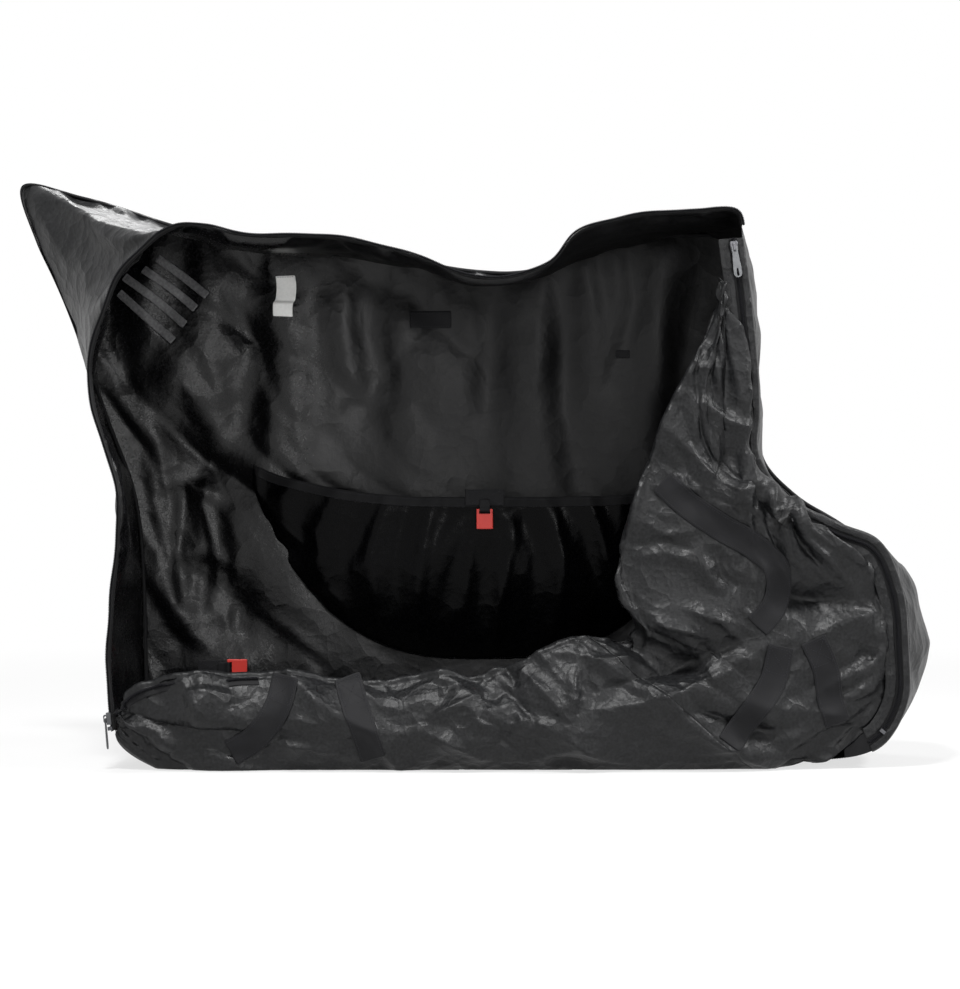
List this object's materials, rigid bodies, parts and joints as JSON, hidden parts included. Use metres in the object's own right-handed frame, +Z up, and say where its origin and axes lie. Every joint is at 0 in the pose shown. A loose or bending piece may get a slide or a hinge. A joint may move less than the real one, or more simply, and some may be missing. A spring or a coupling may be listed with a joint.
{
  "type": "soft bike travel bag",
  "caption": "Tall soft fabric bag that stands on its base with the front panel unzipped and folded down, an inner wheel pocket, webbing straps and two zip sliders with pulls.",
  "frame": {"origin": "middle of the flat base, on the floor", "axes": "+X along the bag, towards the low end with the closed zip; +Y from the opening towards the back panel; +Z up"},
  "size_m": [1.3514, 0.33, 0.8495],
  "materials": {
    "shell_fabric": "black plain-weave nylon, slightly shiny",
    "coated_fabric": "black coated weave",
    "pocket_fabric": "thin glossy black lining cloth",
    "webbing": "matt black woven webbing",
    "zip_tape": "black zip tape",
    "zip_coil": "black moulded coil",
    "zip_metal": "dull nickel",
    "red_plastic": "red moulded plastic",
    "label_satin": "white satin label, bare"
  },
  "bodies": {
    "bag": {"base_gusset": "shell_fabric", "left_gusset": "shell_fabric", "corner_gusset": "shell_fabric", "top_gusset": "shell_fabric", "right_upper_gusset": "shell_fabric", "right_lower_gusset": "shell_fabric", "front_panel": "shell_fabric", "back_panel": "coated_fabric", "wheel_pocket": "pocket_fabric", "pocket_hem": "webbing", "pocket_tab": "webbing", "pocket_buckle_loop": "webbing", "floor_tab": "webbing", "floor_buckle_loop": "webbing", "tie_strap_1": "webbing", "tie_strap_2": "webbing", "tie_strap_3": "webbing", "tie_strap_4": "webbing", "sewn_patch": "webbing", "small_patch": "webbing", "front_strap_a": "webbing", "front_strap_b": "webbing", "front_strap_c": "webbing", "front_strap_d": "webbing", "front_strap_loop": "webbing", "back_strap_a": "webbing", "back_strap_b": "webbing", "back_strap_c": "webbing", "back_strap_d": "webbing", "back_grip_left": "webbing", "back_grip_right": "webbing", "zip_tape_gusset": "zip_tape", "zip_tape_closed": "zip_tape", "zip_tape_panel_end": "zip_tape", "zip_tape_panel_tucked": "zip_tape", "zip_coil_gusset": "zip_coil", "zip_coil_closed": "zip_coil", "zip_coil_panel_end": "zip_coil", "zip_coil_panel_tucked": "zip_coil", "zip_stop_left": "zip_metal", "zip_stop_right": "zip_metal", "care_label": "label_satin"},
    "slider_top": {"zip_slider_top": "zip_metal"},
    "pull_top": {"zip_pull_top": "zip_metal"},
    "slider_bottom": {"zip_slider_bottom": "zip_metal"},
    "pull_bottom": {"zip_pull_bottom": "zip_metal"},
    "buckle_pocket": {"pocket_buckle": "red_plastic"},
    "buckle_floor": {"floor_buckle": "red_plastic"}
  },
  "joints": [
    {"name": "slider_top_slide", "type": "slide", "parent": "bag", "child": "slider_top", "axis": [0.1386, -0.0029, -0.9903], "range_m": [0, 0.04]},
    {"name": "pull_top_hinge", "type": "hinge", "parent": "slider_top", "child": "pull_top", "pos_m": [0.35811, -0.14071, 0.73593], "axis": [-0.9902, 0, -0.1396], "range_deg": [0, 120]},
    {"name": "slider_bottom_slide", "type": "slide", "parent": "bag", "child": "slider_bottom", "axis": [-0.099, -0.0196, 0.9949], "range_m": [0, 0.03]},
    {"name": "pull_bottom_hinge", "type": "hinge", "parent": "slider_bottom", "child": "pull_bottom", "pos_m": [-0.5282, -0.136, 0.07135], "axis": [-0.0006, 1, 0.007], "range_deg": [0, 120]},
    {"name": "pocket_buckle_hinge", "type": "hinge", "parent": "bag", "child": "buckle_pocket", "pos_m": [0.007, 0.0715, 0.36465], "axis": [-1, 0, 0], "range_deg": [0, 110]},
    {"name": "floor_buckle_hinge", "type": "hinge", "parent": "bag", "child": "buckle_floor", "pos_m": [-0.37935, 0.1251, 0.12697], "axis": [0, 0, -1], "range_deg": [0, 110]}
  ]
}
